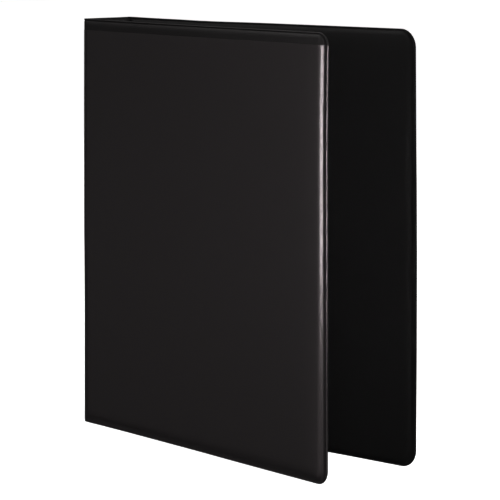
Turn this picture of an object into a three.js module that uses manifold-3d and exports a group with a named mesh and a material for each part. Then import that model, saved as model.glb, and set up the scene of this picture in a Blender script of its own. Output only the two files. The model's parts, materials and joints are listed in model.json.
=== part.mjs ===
// Three-ring binder for letter sheets: heat-sealed vinyl case over three boards,
// clear film on the outside, and a riveted round-ring mechanism with a lever at
// each end. Millimetres, +Z up. The binder stands on its bottom edges.
// Origin: middle of the spine, on the bottom edge. +X points into the binder,
// -Y is the side of the front cover, +Y the side of the back cover.
import * as THREE from 'three';
import * as BufferGeometryUtils from 'three/addons/utils/BufferGeometryUtils.js';
import Module from 'manifold-3d';

const wasm = await Module();
wasm.setup();
const { degToRad } = THREE.MathUtils;

// ---------------------------------------------------------------- case dimensions
const CASE_H = 292;
const COVER_W = 270;           // hinge axis to free edge
const HINGE_Y = 20.6;          // hinge axes lie at y = +-HINGE_Y
const SPINE_W = 2 * HINGE_Y;
const FRONT_DEG = 91.6;        // front cover to spine, as it stands
const BACK_DEG = 96.7;         // back cover to spine, as it stands

const HINGE_GAP = 1.0;         // a sheet stops this far from a hinge axis
const WELD_R = 0.8;            // hinge weld bead
const WELD_INSET = 0.3;        // bead ends to the top and bottom of the case
const FREE_R = { front: 10, back: 12.5 };    // corners at the free edge of each cover
const HINGE_R = 1.6;           // corners beside a hinge
const MIN_HINGE_R = 0.5;
const BOARD_T = 2.2;
const SHEET_T = 0.35;
const FILM_T = 0.2;
const GAP = 0.03;              // between touching layers
const FILM_TOP = 8;            // film stops this far below the top edge
const SHEET_IN = BOARD_T / 2 + GAP;          // levels from the middle plane of a panel
const SHEET_OUT = SHEET_IN + SHEET_T;
const FILM_IN = SHEET_OUT + GAP;
const FILM_OUT = FILM_IN + FILM_T;

// ---------------------------------------------------------------- mechanism dimensions
// z is measured from the middle of the mechanism, x from the spine's middle plane
const MECH_Z = CASE_H / 2;
const HOUSING_L = 273;
const HOUSING_T = 0.6;
const CROWN_X = 7.3;           // top of the housing's centre line
const RING_PITCH = 107.95;     // 4 1/4 in between rings
const RIVET_Z = 121;
const RIVET_R = 1.5;
const RIVET_HOLE_R = 1.7;
const RIVET_FIT = 0.06;        // rivet heads and posts to the faces they bear on
const LEVER_X = 4.9;           // lever pin
const LEVER_Z = 131.3;
const PIN_R = 0.85;
const PIN_HOLE_R = 0.97;

const ENDS = [['bottom', -1], ['top', 1]];
const RINGS = [['bottom', -1], ['middle', 0], ['top', 1]];

// ---------------------------------------------------------------- materials
const standard = (settings) => new THREE.MeshStandardMaterial(settings);
const vinyl = standard({ color: 0x1e1c1c, roughness: 0.5, metalness: 0 });
const vinylInner = standard({ color: 0x101010, roughness: 0.62, metalness: 0 });
const film = standard({
  color: 0x262223, roughness: 0.3, metalness: 0, transparent: true, opacity: 0.3,
});
const board = standard({ color: 0x8a7a62, roughness: 0.95, metalness: 0 });
const nickel = standard({ color: 0xc9c8c4, roughness: 0.25, metalness: 1 });
const steel = standard({ color: 0xb4b4b2, roughness: 0.35, metalness: 1 });

// ---------------------------------------------------------------- solid tools
// shared vertices, no collapsed triangles, faces turned outwards
function merged(geometry) {
  let result = geometry.index ? geometry.toNonIndexed() : geometry.clone();
  for (const name of Object.keys(result.attributes)) {
    if (name !== 'position') result.deleteAttribute(name);
  }
  result = BufferGeometryUtils.mergeVertices(result, 1e-4);
  const source = result.index.array;
  const position = result.attributes.position;
  const vertex = (i) => new THREE.Vector3().fromBufferAttribute(position, i);
  const kept = [];
  let volume = 0;
  for (let i = 0; i < source.length; i += 3) {
    const [a, b, c] = source.slice(i, i + 3);
    if (a === b || b === c || c === a) continue;
    kept.push(a, b, c);
    volume += vertex(a).dot(vertex(b).cross(vertex(c)));
  }
  if (volume < 0) {
    for (let i = 0; i < kept.length; i += 3) [kept[i], kept[i + 1]] = [kept[i + 1], kept[i]];
  }
  result.setIndex(kept);
  return result;
}

function solid(geometry) {
  const clean = merged(geometry);
  return new wasm.Manifold(new wasm.Mesh({
    numProp: 3,
    vertProperties: new Float32Array(clean.attributes.position.array),
    triVerts: new Uint32Array(clean.index.array),
  }));
}

function geometryOf(manifold) {
  const mesh = manifold.getMesh();
  const geometry = new THREE.BufferGeometry();
  const positions = new Float32Array(mesh.vertProperties);
  geometry.setAttribute('position', new THREE.BufferAttribute(positions, 3));
  geometry.setIndex(Array.from(mesh.triVerts));
  return geometry;
}

const cut = (body, ...tools) => tools.reduce((rest, tool) => rest.subtract(solid(tool)), body);

function addMesh(name, geometry, material, parent) {
  const mesh = new THREE.Mesh(merged(geometry), material);
  mesh.name = name;
  parent.add(mesh);
}

const moved = (geometry, x, y, z) => geometry.clone().translate(x, y, z);
const mirroredY = (geometry) => geometry.clone().scale(1, -1, 1);

// the range [near, far] on the positive side, or its mirror image on the negative side
const span = (side, near, far) => (side > 0 ? [near, far] : [-far, -near]);
const around = (centre, reach) => [centre - reach, centre + reach];

function box([x0, x1], [y0, y1], [z0, z1]) {
  const geometry = new THREE.BoxGeometry(x1 - x0, y1 - y0, z1 - z0);
  return geometry.translate((x0 + x1) / 2, (y0 + y1) / 2, (z0 + z1) / 2);
}

// cylinder along an axis between two stations; u and v are its other two coordinates
function rod(axis, radius, [from, to], [u, v], sides = 20) {
  const geometry = new THREE.CylinderGeometry(radius, radius, to - from, sides, 1);
  const middle = (from + to) / 2;
  if (axis === 'x') return geometry.rotateZ(-Math.PI / 2).translate(middle, u, v);
  if (axis === 'y') return geometry.translate(u, middle, v);
  return geometry.rotateX(Math.PI / 2).translate(u, v, middle);
}

function extruded(points, depth) {
  const shape = new THREE.Shape(points.map(([x, y]) => new THREE.Vector2(x, y)));
  return new THREE.ExtrudeGeometry(shape, { depth, bevelEnabled: false, steps: 1 });
}

// profile drawn as [y, x] and extruded along +Z, centred on z = 0
const alongZ = (points, halfLength) => (
  extruded(points.map(([y, x]) => [x, y]), 2 * halfLength).translate(0, 0, -halfLength));

// profile of [radius, station] turned about +Y
const turned = (profile) => (
  new THREE.LatheGeometry(profile.map(([r, y]) => new THREE.Vector2(r, y)), 16));
const turnedAboutX = (profile) => turned(profile).rotateZ(-Math.PI / 2);

// ---------------------------------------------------------------- panel skins
// Local frame of a panel: +X from its first edge across its width, +Z up,
// thickness along +-Y. A skin row is
// [inset at a hinge edge, at a free edge, at the top and bottom, level].
const boardRows = [[2.9, 6.8, 4.2, -BOARD_T / 2], [2.9, 6.8, 4.2, BOARD_T / 2]];

// from the inside face, round the rim, to the outside face
const sheetRows = (seam) => [
  [2.7, 6.6, 4.0, SHEET_IN],
  [2.0, 4.4, 2.6, seam],
  [0, 0, 0, seam],
  [0, 0, 0, 0.33],
  [1.5, 3.4, 1.9, 0.37],
  [2.2, 4.9, 2.9, 1.2],
  [3.2, 7.2, 4.6, SHEET_OUT],
];
const OUTER_SEAM = -0.12;
const INNER_SEAM = 0.16;

const filmRows = [
  [3.15, 7.1, 4.5, FILM_IN],
  [2.1, 4.75, 2.75, 1.25],
  [1.4, 3.3, 1.8, 0.42],
  [0.5, 1.0, 0.7, 0.38],
  [0.5, 1.0, 0.7, 0.58],
  [1.4, 3.1, 1.65, 0.62],
  [2.0, 4.6, 2.6, 1.42],
  [3.1, 7.0, 4.4, FILM_OUT],
];

// rounded rectangle at one level; left and right are the corners on that side,
// each [radius across, radius up]
function roundedLoop([x0, x1], [z0, z1], left, right, level) {
  const points = [];
  const corner = (x, z, [across, upward], start) => {
    const segments = across > 2.5 ? 6 : 2;
    for (let i = 0; i <= segments; i++) {
      const angle = start + (Math.PI / 2) * (i / segments);
      points.push([x + across * Math.cos(angle), level, z + upward * Math.sin(angle)]);
    }
  };
  corner(x1 - right[0], z1 - right[1], right, 0);
  corner(x0 + left[0], z1 - left[1], left, Math.PI / 2);
  corner(x0 + left[0], z0 + left[1], left, Math.PI);
  corner(x1 - right[0], z0 + right[1], right, 1.5 * Math.PI);
  return points;
}

// 'front' and 'back' have one hinge edge and one free edge, 'spine' has two hinge edges
function panelLoop(kind, [hingeInset, freeInset, endInset, level], side) {
  const isCover = kind !== 'spine';
  const end = isCover ? COVER_W - freeInset : SPINE_W - HINGE_GAP - hingeInset;
  const radius = Math.max(HINGE_R - hingeInset, MIN_HINGE_R);
  const left = [radius, radius];
  const right = isCover ? [FREE_R[kind] - freeInset, FREE_R[kind] - endInset] : left;
  const heights = [endInset, CASE_H - endInset];
  return roundedLoop([HINGE_GAP + hingeInset, end], heights, left, right, side * level);
}

// closed skin through a list of loops, capped at both ends
function loft(loops) {
  const index = [];
  const count = loops[0].length;
  for (let k = 0; k + 1 < loops.length; k++) {
    for (let i = 0; i < count; i++) {
      const a = k * count + i;
      const b = k * count + (i + 1) % count;
      const c = a + count;
      const d = b + count;
      index.push(a, b, d, a, d, c);
    }
  }
  const cap = (k, flip) => {
    const contour = loops[k].map(([x, , z]) => new THREE.Vector2(x, z));
    for (const triangle of THREE.ShapeUtils.triangulateShape(contour, [])) {
      const [a, b, c] = triangle.map((i) => k * count + i);
      index.push(...(flip ? [c, b, a] : [a, b, c]));
    }
  };
  cap(0, true);
  cap(loops.length - 1, false);
  const geometry = new THREE.BufferGeometry();
  geometry.setAttribute('position', new THREE.Float32BufferAttribute(loops.flat(2), 3));
  geometry.setIndex(index);
  return geometry;
}

// side is the sign of local Y that the levels are measured along
const skin = (kind, rows, side) => loft(rows.map((row) => panelLoop(kind, row, side)));

function filmSkin(kind, side) {
  const aboveFilm = box([-5, COVER_W + 5], [-6, 6], [CASE_H - FILM_TOP, CASE_H + 5]);
  return geometryOf(cut(solid(skin(kind, filmRows, side)), aboveFilm));
}

// ---------------------------------------------------------------- case
const binder = new THREE.Group();

// outside is the sign of local Y on the outer face; finish works on every layer
function addPanel(kind, { hingeY, turn, outside, finish = (geometry) => geometry }) {
  const group = new THREE.Group();
  group.position.set(0, hingeY, 0);
  group.rotation.z = turn;
  const outer = skin(kind, sheetRows(OUTER_SEAM), outside);
  const inner = skin(kind, sheetRows(INNER_SEAM), -outside);
  addMesh(`${kind}_board`, finish(skin(kind, boardRows, 1)), board, group);
  addMesh(`${kind}_outer_vinyl`, finish(outer), vinyl, group);
  addMesh(`${kind}_inner_vinyl`, finish(inner), vinylInner, group);
  addMesh(`${kind}_clear_overlay`, finish(filmSkin(kind, outside)), film, group);
  binder.add(group);
}

function withRivetHoles(geometry) {
  const holes = ENDS.map(([, end]) => (
    rod('y', RIVET_HOLE_R, [-8, 8], [SPINE_W / 2, MECH_Z + end * RIVET_Z], 16)));
  return geometryOf(cut(solid(geometry), ...holes));
}

addPanel('front', { hingeY: -HINGE_Y, turn: -degToRad(FRONT_DEG - 90), outside: -1 });
addPanel('back', { hingeY: HINGE_Y, turn: degToRad(BACK_DEG - 90), outside: 1 });
// the spine's local +X runs along +Y, its local +Y along -X
addPanel('spine', {
  hingeY: -HINGE_Y, turn: Math.PI / 2, outside: 1, finish: withRivetHoles,
});
for (const [name, side] of [['front', -1], ['back', 1]]) {
  const weld = rod('z', WELD_R, [WELD_INSET, CASE_H - WELD_INSET], [0, side * HINGE_Y], 10);
  addMesh(`${name}_hinge_weld`, weld, vinyl, binder);
}

// ---------------------------------------------------------------- ring housing
const mechanism = new THREE.Group();
mechanism.position.set(0, 0, MECH_Z);
binder.add(mechanism);

// centre line of the sheet metal as [y, x], from the crown to the curled back edge
const housingHalf = [
  [0, CROWN_X], [2.6, 7.13], [5.1, 6.72], [7.4, 6.12], [8.95, 5.45],
  [9.85, 4.6], [10.1, 3.9], [9.95, 3.0], [9.45, 2.25], [8.5, 2.0],
];
const RING_SLOT = { nearY: 6.3, farY: 14, halfZ: 1.9 };
const LEVER_MOUTH = { x: 5.6, halfY: 4.4, inset: 4.1 };   // inset: from the pin inwards

function offsetLine(points, distance) {
  return points.map(([y, x], i) => {
    const before = points[Math.max(i - 1, 0)];
    const after = points[Math.min(i + 1, points.length - 1)];
    const stepY = after[0] - before[0];
    const stepX = after[1] - before[1];
    const length = Math.hypot(stepY, stepX);
    return [y - (stepX / length) * distance, x + (stepY / length) * distance];
  });
}

function makeHousing() {
  const frontHalf = housingHalf.slice(1).reverse().map(([y, x]) => [-y, x]);
  const centreLine = [...frontHalf, ...housingHalf];
  const section = [
    ...offsetLine(centreLine, HOUSING_T / 2),
    ...offsetLine(centreLine, -HOUSING_T / 2).reverse(),
  ];
  let housing = solid(alongZ(section, HOUSING_L / 2));
  for (const [, row] of RINGS) {
    for (const side of [-1, 1]) {
      const slotY = span(side, RING_SLOT.nearY, RING_SLOT.farY);
      const slotZ = around(row * RING_PITCH, RING_SLOT.halfZ);
      housing = cut(housing, box([3.5, 14], slotY, slotZ));
    }
  }
  for (const [, end] of ENDS) {
    const mouthZ = span(end, LEVER_Z - LEVER_MOUTH.inset, HOUSING_L);
    housing = cut(
      housing,
      rod('x', RIVET_HOLE_R, [5, 9], [0, end * RIVET_Z], 16),
      rod('y', PIN_HOLE_R, [-14, 14], [LEVER_X, end * LEVER_Z]),
      box([LEVER_MOUTH.x, 14], around(0, LEVER_MOUTH.halfY), mouthZ),
    );
  }
  return geometryOf(housing);
}
addMesh('ring_housing', makeHousing(), nickel, mechanism);

// ---------------------------------------------------------------- rivets, posts, pins
// profiles are [radius, station along the axis]
const SPINE_SEAT = -(FILM_OUT + RIVET_FIT);                  // under the outside head
const CROWN_SEAT = CROWN_X + HOUSING_T / 2 + RIVET_FIT;      // under the inside head
const rivet = turnedAboutX([
  [0, -2.68], [2.2, -2.58], [3.6, -2.3], [4.2, SPINE_SEAT], [RIVET_R, SPINE_SEAT],
  [RIVET_R, CROWN_SEAT], [3.8, CROWN_SEAT], [3.3, 8.2], [2.0, 8.6], [0, 8.78],
]);

const POST_BORE_R = RIVET_HOLE_R + 0.05;
const POST_R = 2.6;
const POST_BASE = SHEET_OUT + RIVET_FIT;
const POST_TOP = 6.72;
const post = turnedAboutX([
  [POST_BORE_R, POST_BASE], [POST_R, POST_BASE], [POST_R, POST_TOP],
  [POST_BORE_R, POST_TOP], [POST_BORE_R, POST_BASE],
]);

const PIN_HEAD_R = 1.3;
const PIN_END = 11.1;
const PIN_SHANK_END = 10.62;
const pin = turned([
  [0, -PIN_END], [PIN_HEAD_R, -PIN_END], [PIN_HEAD_R, -PIN_SHANK_END], [PIN_R, -PIN_SHANK_END],
  [PIN_R, PIN_SHANK_END], [PIN_HEAD_R, PIN_SHANK_END], [PIN_HEAD_R, PIN_END], [0, PIN_END],
]);

for (const [name, end] of ENDS) {
  addMesh(`${name}_rivet`, moved(rivet, 0, 0, end * RIVET_Z), nickel, mechanism);
  addMesh(`${name}_rivet_post`, moved(post, 0, 0, end * RIVET_Z), steel, mechanism);
  addMesh(`${name}_lever_pin`, moved(pin, LEVER_X, 0, end * LEVER_Z), steel, mechanism);
}

// ---------------------------------------------------------------- blades
// Modelled as the back blade; the front one is its mirror image.
const PIVOT_Y = 8.7;           // blade hinge edge
const PIVOT_X = 4.4;
const BLADE_T = 1.0;
const BLADE_W = 8.5;           // hinge edge to inner edge
const BLADE_HALF = 127;        // half length of a blade
const TONGUE_HALF = 129;       // half length over the end tongues
const TONGUE_Y = 2.8;          // outer side of a tongue
const TILT = degToRad(7);      // closed blades dip towards the spine
const RIVET_NOTCH = { y: 3.4, halfZ: 3.3 };
const TENON_ACROSS = 1.5;      // ring tenon from the hinge edge
const TENON_R = 1.0;
const TENON_HOLE_R = 1.12;
const THROUGH_X = [-2, 12];    // cuts right through a blade or lever

// [y, x] of a point: across from the hinge edge to the middle, above along the blade's normal
const onBlade = (across, above) => [
  PIVOT_Y - Math.cos(TILT) * across - Math.sin(TILT) * above,
  PIVOT_X - Math.sin(TILT) * across + Math.cos(TILT) * above,
];

// rod square to the blade through the tenon's place
function tenonRod(radius, [from, to], z, sides) {
  const [y, x] = onBlade(TENON_ACROSS, 0);
  return new THREE.CylinderGeometry(radius, radius, to - from, sides, 1)
    .translate(0, (from + to) / 2, 0)
    .rotateZ(-Math.PI / 2 - TILT)            // +Y to the blade normal
    .translate(x, y, z);
}

function makeBlade() {
  const section = [];
  for (let i = 0; i <= 6; i++) {             // rounded hinge edge
    const angle = Math.PI / 2 + (Math.PI * i) / 6;
    section.push(onBlade((BLADE_T / 2) * Math.cos(angle), (BLADE_T / 2) * Math.sin(angle)));
  }
  section.push(onBlade(BLADE_W, -BLADE_T / 2), onBlade(BLADE_W, BLADE_T / 2));
  let blade = solid(alongZ(section, TONGUE_HALF));
  for (const [, end] of ENDS) {
    const besideTongue = box(THROUGH_X, [TONGUE_Y, 14], span(end, BLADE_HALF, 140));
    const notchZ = around(end * RIVET_Z, RIVET_NOTCH.halfZ);
    blade = cut(blade, besideTongue, box(THROUGH_X, [-2, RIVET_NOTCH.y], notchZ));
  }
  for (const [, row] of RINGS) {
    blade = cut(blade, tenonRod(TENON_HOLE_R, [-3, 3], row * RING_PITCH, 20));
  }
  return geometryOf(blade);
}
const backBlade = makeBlade();
addMesh('back_blade', backBlade, nickel, mechanism);
addMesh('front_blade', mirroredY(backBlade), nickel, mechanism);

// ---------------------------------------------------------------- half rings
// Modelled on the back side; the front halves are mirror images.
const RING_R = 14.1;           // centre line of a ring
const RING_X = 16.5;           // ring centre
const WIRE_R = 1.4;
const TIP_GAP = 0.09;          // each tip stops this far from the middle
const RING_END = degToRad(157);

class RingArc extends THREE.Curve {
  getPoint(t, target = new THREE.Vector3()) {
    const start = Math.asin(TIP_GAP / RING_R);
    const angle = start + (RING_END - start) * t;
    return target.set(RING_X + RING_R * Math.cos(angle), RING_R * Math.sin(angle), 0);
  }
}

function makeHalfRing() {
  const wire = new THREE.Shape();
  wire.absarc(0, 0, WIRE_R, 0, 2 * Math.PI, false);
  const tube = new THREE.ExtrudeGeometry(wire, {
    steps: 16, curveSegments: 5, extrudePath: new RingArc(), bevelEnabled: false,
  });
  // trims the ring flat just above the blade's top face
  const belowBlade = box([-20, 0], [-20, 20], [-6, 6])
    .translate(BLADE_T / 2 + GAP, 0, 0)
    .rotateZ(-TILT)
    .translate(PIVOT_X, PIVOT_Y, 0);
  const tenon = tenonRod(TENON_R, [-BLADE_T / 2 - 0.3, BLADE_T / 2 + 0.7], 0, 14);
  return cut(solid(tube), belowBlade).add(solid(tenon));
}

const halfRing = makeHalfRing();
const tipRod = (radius, reach) => rod('y', radius, [-1, reach], [RING_X + RING_R, 0], 12);
const pegged = geometryOf(halfRing.add(solid(tipRod(0.6, 1.4))));
const socketed = mirroredY(geometryOf(cut(halfRing, tipRod(0.9, 1.45))));
for (const [name, row] of RINGS) {
  const z = row * RING_PITCH;
  addMesh(`back_half_ring_${name}`, moved(pegged, 0, 0, z), nickel, mechanism);
  addMesh(`front_half_ring_${name}`, moved(socketed, 0, 0, z), nickel, mechanism);
}

// ---------------------------------------------------------------- end levers
// Modelled as the bottom lever. Sections are [from the pin towards the rings,
// from the pin away from the spine].
const leverSection = [
  [2.9, -2.15], [1.75, -2.15], [1.75, -0.4], [3.0, -0.4], [3.0, 0.55], [1.6, 1.5], [0.2, 2.0],
  [-1.3, 2.6], [-2.85, 5.3], [-4.3, 8.8], [-5.7, 11.9], [-6.4, 12.75], [-7.2, 12.4],
  [-7.05, 11.6], [-5.7, 8.5], [-4.3, 5.1], [-2.7, 1.6], [-2.0, -0.5], [-1.2, -2.2],
  [0, -3.2], [2.9, -3.2],
];
const tabSection = [
  [-2.85, 5.35], [-4.3, 8.8], [-5.7, 11.9], [-6.4, 12.75],
  [-7.2, 12.4], [-7.05, 11.6], [-5.7, 8.5], [-4.35, 5.2],
];
const LEVER_HALF_Y = 3.9;
const TAB_HALF_Y = 6.5;
const GRIP_HALF_Y = 2.95;      // where the lever grips the blade tongues
const GRIP_START = 1.72;       // from the pin towards the rings

function leverPlate(section, halfY) {
  const points = section.map(([inward, away]) => [LEVER_X + away, inward - LEVER_Z]);
  const plate = extruded(points, 2 * halfY)
    .rotateX(Math.PI / 2)                    // (x, y, z) to (x, -z, y)
    .translate(0, halfY, 0);
  return solid(plate);
}

function makeLever() {
  const gripZ = [GRIP_START - LEVER_Z, 6 - LEVER_Z];
  const besideGrip = [-1, 1].map((side) => box(THROUGH_X, span(side, GRIP_HALF_Y, 6), gripZ));
  const lever = cut(leverPlate(leverSection, LEVER_HALF_Y), ...besideGrip)
    .add(leverPlate(tabSection, TAB_HALF_Y));
  return geometryOf(cut(lever, rod('y', PIN_HOLE_R, [-9, 9], [LEVER_X, -LEVER_Z])));
}
const bottomLever = makeLever();
addMesh('bottom_lever', bottomLever, nickel, mechanism);
addMesh('top_lever', bottomLever.clone().scale(1, 1, -1), nickel, mechanism);

export default binder;
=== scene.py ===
"""A ring binder standing open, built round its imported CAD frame. Lengths in this file are millimetres unless a name says otherwise."""
import json
import math

import bmesh
import bpy
import numpy as np
from mathutils import Matrix, Vector, noise


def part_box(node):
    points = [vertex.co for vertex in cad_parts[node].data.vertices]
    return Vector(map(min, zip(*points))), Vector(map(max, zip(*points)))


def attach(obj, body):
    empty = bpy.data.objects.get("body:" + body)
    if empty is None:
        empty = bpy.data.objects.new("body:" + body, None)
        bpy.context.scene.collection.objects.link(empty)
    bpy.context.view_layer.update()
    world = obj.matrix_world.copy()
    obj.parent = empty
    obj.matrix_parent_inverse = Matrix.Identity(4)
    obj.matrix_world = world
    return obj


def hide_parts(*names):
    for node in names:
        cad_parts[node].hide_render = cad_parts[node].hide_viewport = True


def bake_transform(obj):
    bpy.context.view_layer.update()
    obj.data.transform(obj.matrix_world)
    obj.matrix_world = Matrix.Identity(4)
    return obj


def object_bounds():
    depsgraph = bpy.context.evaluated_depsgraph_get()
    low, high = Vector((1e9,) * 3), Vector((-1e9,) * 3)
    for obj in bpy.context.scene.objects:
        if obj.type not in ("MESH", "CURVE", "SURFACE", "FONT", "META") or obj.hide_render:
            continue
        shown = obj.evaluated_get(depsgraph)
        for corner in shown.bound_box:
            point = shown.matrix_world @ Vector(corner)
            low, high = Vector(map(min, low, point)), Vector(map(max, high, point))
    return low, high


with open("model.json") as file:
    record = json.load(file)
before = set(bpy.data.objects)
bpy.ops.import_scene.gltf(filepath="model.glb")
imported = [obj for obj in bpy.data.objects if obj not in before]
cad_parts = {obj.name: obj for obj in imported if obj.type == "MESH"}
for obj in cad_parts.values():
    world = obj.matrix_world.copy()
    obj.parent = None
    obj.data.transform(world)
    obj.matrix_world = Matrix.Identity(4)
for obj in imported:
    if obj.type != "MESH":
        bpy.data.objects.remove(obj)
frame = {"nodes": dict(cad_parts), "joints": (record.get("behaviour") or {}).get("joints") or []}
cad_box = [list(v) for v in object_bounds()]
MM = 0.001
scene = bpy.context.scene
joints = {j["name"]: j for j in frame["joints"]}


# ---------------------------------------------------------------- what the frame says
def node_points(name):
    return np.array([v.co for v in frame["nodes"][name].data.vertices], float).reshape(-1, 3) * 1000.0


def box_mm(name):
    lo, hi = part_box(name)
    return np.array(lo) * 1000.0, np.array(hi) * 1000.0


H = box_mm("front_outer_vinyl")[1][2]
YH = abs(joints["front_cover_hinge"]["pos_m"][1]) * 1000.0


def cover_direction(side):
    """Unit vector from the hinge to the free edge of a cover, and the cover's width."""
    pts = node_points(side + "_board")[:, :2]
    mid = pts.mean(0)
    _, _, vt = np.linalg.svd(pts - mid)
    d = vt[0] * (1 if vt[0][0] > 0 else -1)
    hinge = np.array([0.0, -YH if side == "front" else YH])
    w = ((node_points(side + "_outer_vinyl")[:, :2] - hinge) @ d).max()
    return d, float(w)


DIR, WIDTH = {}, {}
for _side in ("front", "back"):
    DIR[_side], WIDTH[_side] = cover_direction(_side)


def link(mesh, name):
    o = bpy.data.objects.new(name, mesh)
    scene.collection.objects.link(o)
    return o


def mesh_object(name, verts_mm, faces, smooth=True, angle=None):
    me = bpy.data.meshes.new(name)
    me.from_pydata([tuple(v) for v in (np.asarray(verts_mm, float) * MM)], [], [tuple(int(i) for i in f) for f in faces])
    me.validate()
    bm = bmesh.new()
    bm.from_mesh(me)
    bmesh.ops.recalc_face_normals(bm, faces=bm.faces)
    bm.to_mesh(me)
    bm.free()
    o = link(me, name)
    shade(o, smooth, angle)
    return o


def shade(o, smooth=True, angle=None):
    me = o.data
    me.polygons.foreach_set("use_smooth", [smooth] * len(me.polygons))
    if smooth and angle is not None:
        bm = bmesh.new()
        bm.from_mesh(me)
        for e in bm.edges:
            if len(e.link_faces) == 2:
                e.smooth = e.calc_face_angle(0.0) < math.radians(angle)
        bm.to_mesh(me)
        bm.free()
    me.update()


def apply_modifiers(o):
    dg = bpy.context.evaluated_depsgraph_get()
    dg.update()
    me = bpy.data.meshes.new_from_object(o.evaluated_get(dg))
    o.modifiers.clear()
    old = o.data
    o.data = me
    if old.users == 0:
        bpy.data.meshes.remove(old)
    return o


# ---------------------------------------------------------------- materials
def new_material(name):
    m = bpy.data.materials.new(name)
    m.use_nodes = True
    nt = m.node_tree
    nt.nodes.clear()
    out = nt.nodes.new("ShaderNodeOutputMaterial")
    bsdf = nt.nodes.new("ShaderNodeBsdfPrincipled")
    nt.links.new(bsdf.outputs[0], out.inputs[0])
    return m, nt, bsdf


def coords(nt, scale=(1, 1, 1), rotation=(0, 0, 0)):
    tc = nt.nodes.new("ShaderNodeTexCoord")
    mp = nt.nodes.new("ShaderNodeMapping")
    mp.inputs["Scale"].default_value = scale
    mp.inputs["Rotation"].default_value = rotation
    nt.links.new(tc.outputs["Object"], mp.inputs["Vector"])
    return mp.outputs["Vector"]


def tex_noise(nt, vector, scale, detail=3.0, rough=0.5, distortion=0.0):
    n = nt.nodes.new("ShaderNodeTexNoise")
    n.inputs["Scale"].default_value = scale
    n.inputs["Detail"].default_value = detail
    n.inputs["Roughness"].default_value = rough
    n.inputs["Distortion"].default_value = distortion
    nt.links.new(vector, n.inputs["Vector"])
    return n


def remap(nt, value, a, b, lo, hi, smooth=False):
    r = nt.nodes.new("ShaderNodeMapRange")
    if smooth:
        r.interpolation_type = "SMOOTHSTEP"
    r.inputs["From Min"].default_value, r.inputs["From Max"].default_value = a, b
    r.inputs["To Min"].default_value, r.inputs["To Max"].default_value = lo, hi
    nt.links.new(value, r.inputs["Value"])
    return r.outputs["Result"]


def mix_colour(nt, factor, a, b):
    m = nt.nodes.new("ShaderNodeMix")
    m.data_type = "RGBA"
    if isinstance(factor, (int, float)):
        m.inputs["Factor"].default_value = factor
    else:
        nt.links.new(factor, m.inputs["Factor"])
    for key, c in (("A", a), ("B", b)):
        sock = [s for s in m.inputs if s.name == key and s.type == "RGBA"][0]
        if isinstance(c, tuple):
            sock.default_value = (*c, 1.0)
        else:
            nt.links.new(c, sock)
    return [s for s in m.outputs if s.type == "RGBA"][0]


def math_node(nt, op, a, b=None, clamp=False):
    m = nt.nodes.new("ShaderNodeMath")
    m.operation = op
    m.use_clamp = clamp
    for i, v in enumerate((a, b)):
        if v is None:
            continue
        if isinstance(v, (int, float)):
            m.inputs[i].default_value = v
        else:
            nt.links.new(v, m.inputs[i])
    return m.outputs[0]


def bump(nt, height, strength, distance, normal=None):
    b = nt.nodes.new("ShaderNodeBump")
    b.inputs["Strength"].default_value = strength
    b.inputs["Distance"].default_value = distance
    nt.links.new(height, b.inputs["Height"])
    if normal is not None:
        nt.links.new(normal, b.inputs["Normal"])
    return b.outputs["Normal"]


def vinyl_material(name, dark, light, rough, grain=0.35, pebble_mm=0.62, sheen=0.5):
    """Calendered black vinyl: pebbled leather grain, cloudy sheen, paler rubbed edges."""
    m, nt, bsdf = new_material(name)
    v = coords(nt)
    warp = tex_noise(nt, v, 900.0, 2.0)
    add = nt.nodes.new("ShaderNodeMixRGB")
    add.blend_type = "ADD"
    add.inputs[0].default_value = 0.00045
    nt.links.new(v, add.inputs[1])
    nt.links.new(warp.outputs["Color"], add.inputs[2])
    cell = nt.nodes.new("ShaderNodeTexVoronoi")
    cell.feature = "DISTANCE_TO_EDGE"
    cell.inputs["Scale"].default_value = 1000.0 / pebble_mm
    nt.links.new(add.outputs[0], cell.inputs["Vector"])
    crease = remap(nt, cell.outputs["Distance"], 0.0, 0.22, 0.0, 1.0, smooth=True)
    fine = tex_noise(nt, v, 5200.0, 2.0)
    height = math_node(nt, "ADD", math_node(nt, "MULTIPLY", crease, 0.75), math_node(nt, "MULTIPLY", fine.outputs[0], 0.25))
    slow = tex_noise(nt, v, 14.0, 3.0, 0.55)
    mid = tex_noise(nt, v, 95.0, 4.0, 0.6)
    n1 = bump(nt, mid.outputs[0], 0.10, 0.0006)
    n2 = bump(nt, height, grain, 0.00006, n1)
    nt.links.new(n2, bsdf.inputs["Normal"])
    cloud = remap(nt, slow.outputs[0], 0.3, 0.7, 0.0, 1.0)
    tone = mix_colour(nt, cloud, dark, light)
    geo = nt.nodes.new("ShaderNodeNewGeometry")
    worn = remap(nt, geo.outputs["Pointiness"], 0.515, 0.56, 0.0, 0.55)
    scuff = tex_noise(nt, v, 260.0, 5.0, 0.7)
    worn = math_node(nt, "MULTIPLY", worn, remap(nt, scuff.outputs[0], 0.42, 0.62, 0.15, 1.0))
    rubbed = tuple(min(1.0, c * 2.6 + 0.004) for c in light)
    nt.links.new(mix_colour(nt, worn, tone, rubbed), bsdf.inputs["Base Color"])
    rr = math_node(nt, "ADD", remap(nt, mid.outputs[0], 0.3, 0.7, rough - 0.04, rough + 0.05),
                   math_node(nt, "MULTIPLY", crease, -0.05))
    nt.links.new(rr, bsdf.inputs["Roughness"])
    bsdf.inputs["IOR"].default_value = 1.5
    bsdf.inputs["Specular IOR Level"].default_value = sheen
    bsdf.inputs["Specular Tint"].default_value = (1.0, 0.93, 0.945, 1.0)
    return m


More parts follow.
